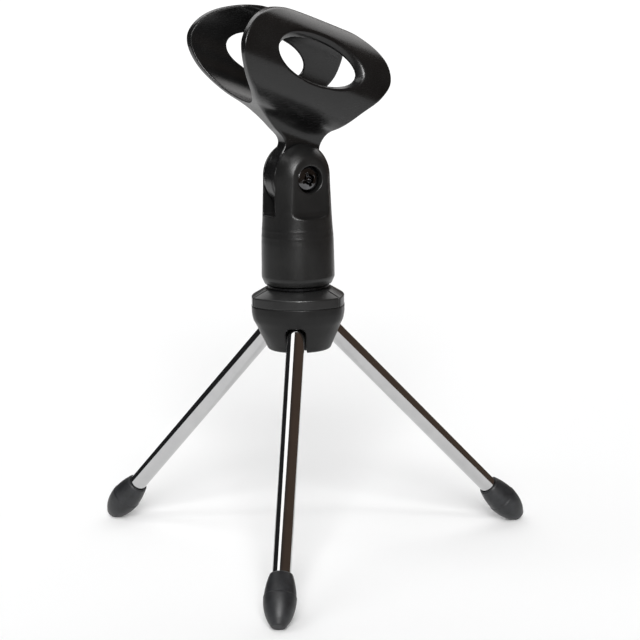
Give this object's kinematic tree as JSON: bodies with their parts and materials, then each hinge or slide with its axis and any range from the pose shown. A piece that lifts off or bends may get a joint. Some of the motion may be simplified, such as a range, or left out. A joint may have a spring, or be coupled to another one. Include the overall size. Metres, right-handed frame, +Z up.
{
  "type": "desktop microphone stand",
  "caption": "Folding tabletop tripod with a threaded hub and a tilting open clip that grips the handle of a microphone.",
  "frame": {"origin": "on the table, at the middle of the rectangle around the three feet", "axes": "+Z up along the hub; the front leg points along -Y, the other two lie 120 degrees either side"},
  "size_m": [0.15, 0.131, 0.1856],
  "materials": {
    "black_plastic": "moulded, fine satin",
    "satin_plastic": "moulded, semi gloss",
    "rubber": "matte",
    "chrome": "polished",
    "black_steel": "black plated",
    "plain_steel": "zinc plated",
    "brass": "turned"
  },
  "bodies": {
    "hub": {"hub_bowl": "black_plastic", "hub_cap": "black_plastic", "thread_stud": "black_steel", "hub_screw": "black_steel", "hub_screw_washer": "plain_steel", "leg_pin_front": "plain_steel", "leg_pin_right": "plain_steel", "leg_pin_left": "plain_steel"},
    "fork": {"clip_base": "black_plastic", "thread_insert": "brass", "pivot_screw": "black_steel", "pivot_nut": "plain_steel", "friction_washer_screw_side": "rubber", "friction_washer_nut_side": "rubber"},
    "clip": {"mic_clip": "satin_plastic"},
    "leg_front": {"leg_tube_front": "chrome", "leg_boot_front": "rubber"},
    "leg_right": {"leg_tube_right": "chrome", "leg_boot_right": "rubber"},
    "leg_left": {"leg_tube_left": "chrome", "leg_boot_left": "rubber"}
  },
  "joints": [
    {"name": "base_turn", "type": "hinge", "parent": "hub", "child": "fork", "pos_m": [0, 0.02055, 0.09329], "axis": [0, 0, 1], "range_deg": [0, 360]},
    {"name": "clip_tilt", "type": "hinge", "parent": "fork", "child": "clip", "pos_m": [0, 0.02055, 0.12879], "axis": [0.5807, -0.8141, 0], "range_deg": [-90, 90]},
    {"name": "leg_fold_front", "type": "hinge", "parent": "hub", "child": "leg_front", "pos_m": [0, 0.01119, 0.07946], "axis": [1, 0, 0], "range_deg": [0, 43.9]},
    {"name": "leg_fold_right", "type": "hinge", "parent": "hub", "child": "leg_right", "pos_m": [0.00811, 0.02523, 0.07946], "axis": [-0.5, 0.866, 0], "range_deg": [0, 43.9]},
    {"name": "leg_fold_left", "type": "hinge", "parent": "hub", "child": "leg_left", "pos_m": [-0.00811, 0.02523, 0.07946], "axis": [-0.5, -0.866, 0], "range_deg": [0, 43.9]}
  ]
}
